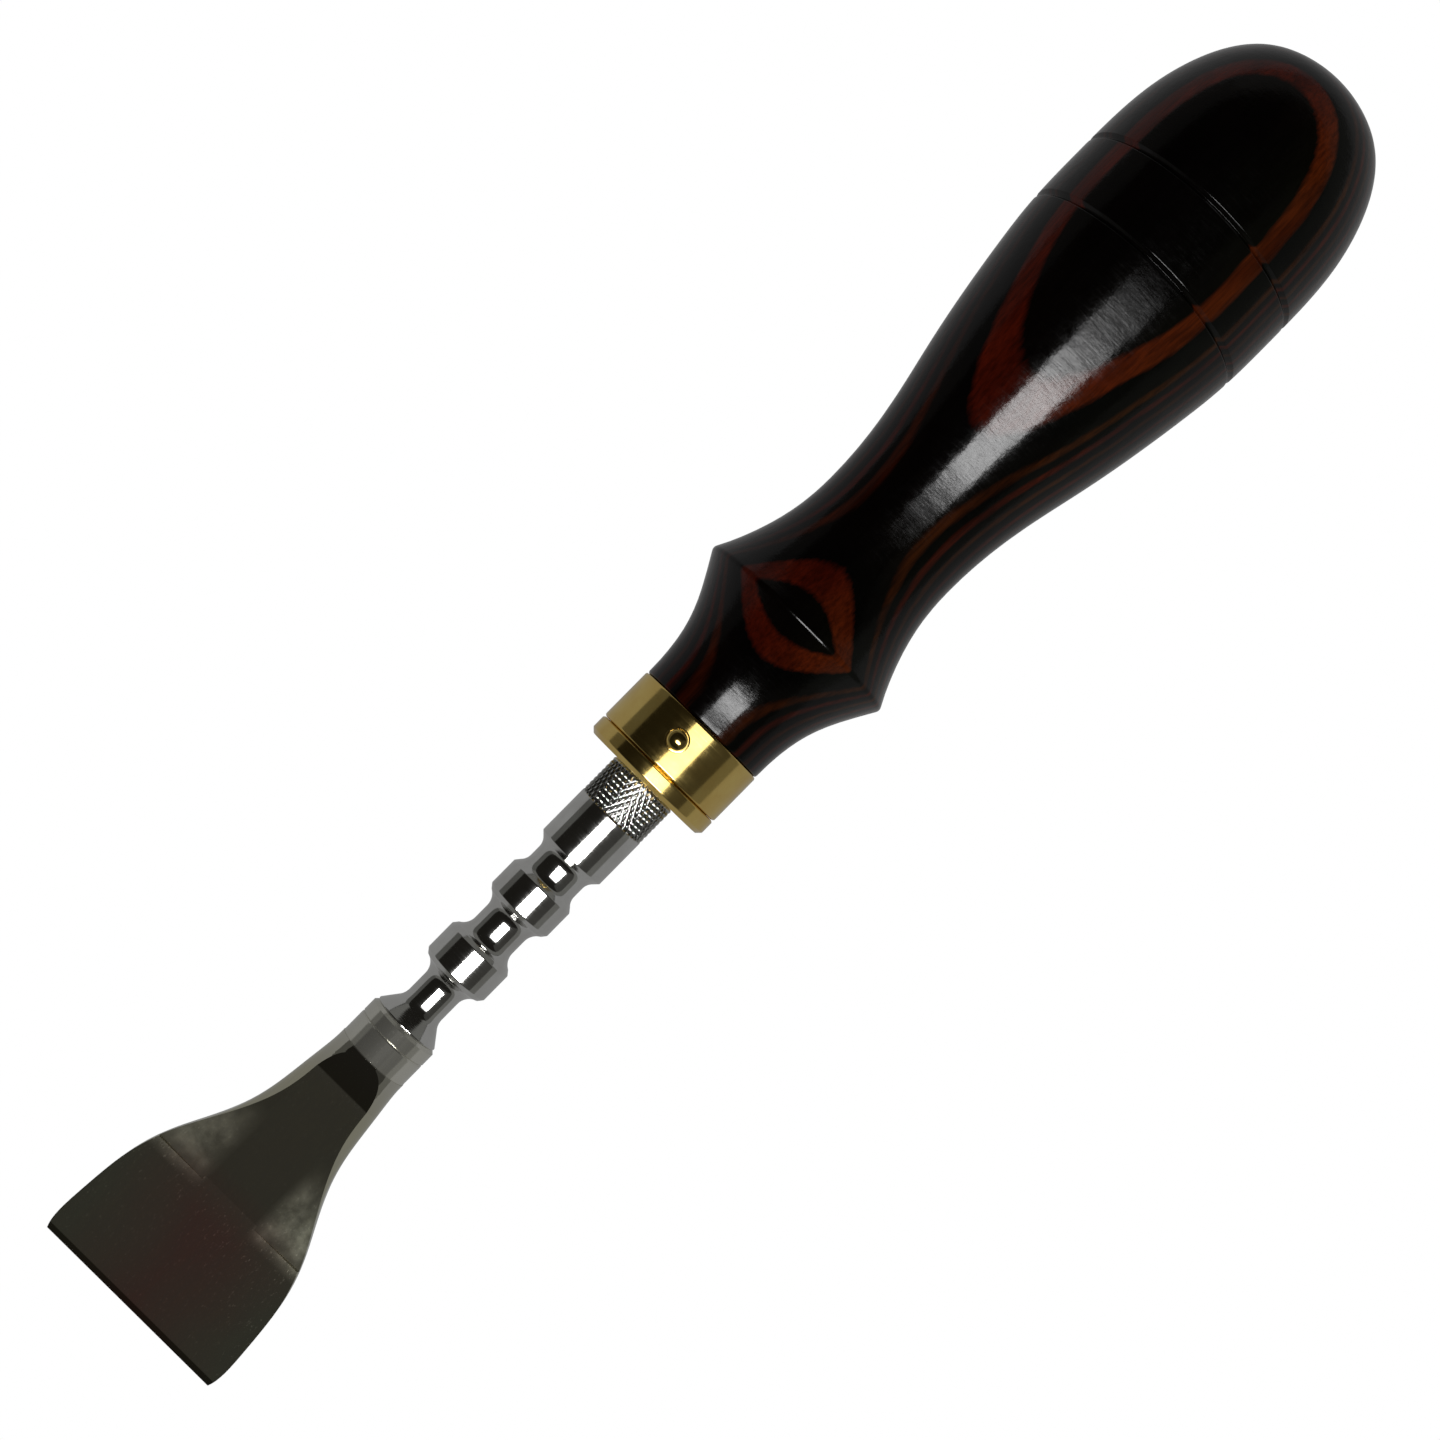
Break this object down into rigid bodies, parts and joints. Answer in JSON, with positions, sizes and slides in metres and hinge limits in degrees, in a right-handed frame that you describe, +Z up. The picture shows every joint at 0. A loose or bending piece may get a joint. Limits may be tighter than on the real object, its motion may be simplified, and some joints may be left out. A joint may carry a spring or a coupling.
{
  "type": "edge beveler",
  "caption": "Broad leather edge beveler: wide fishtail blade on a beaded steel shank that screws into a brass-ferruled handle turned from laminated wood.",
  "frame": {"origin": "under the middle of the tool's length, on the plane that the lying handle's bulb rests on", "axes": "+X along the tool towards the cutting edge, +Z up and normal to the blade's flat, +Y across the blade"},
  "size_m": [0.1918, 0.0304, 0.0304],
  "materials": {
    "blade_steel": "ground and mirror-polished tool steel",
    "shank_steel": "polished stainless steel, diamond knurl at the root",
    "plain_steel": "turned",
    "brass": "polished",
    "handle_wood": "glossy lacquer over black and red-brown dyed laminations"
  },
  "bodies": {
    "grip": {"handle": "handle_wood", "ferrule": "brass", "ferrule_pin": "brass", "mouth_collar": "brass", "thread_insert": "plain_steel"},
    "washer": {"seat_washer": "plain_steel"},
    "head": {"shank": "shank_steel", "blade": "blade_steel"}
  },
  "joints": [
    {"name": "head_advance", "type": "slide", "parent": "grip", "child": "washer", "axis": [1, 0, 0], "range_m": [0, 0.01]},
    {"name": "head_turn", "type": "hinge", "parent": "washer", "child": "head", "pos_m": [0.01455, 0, 0.0152], "axis": [1, 0, 0], "range_deg": [0, 3601]}
  ],
  "couplings": [
    {"joint": "head_turn", "follows": "head_advance", "rad_per_m": 6283.2}
  ]
}
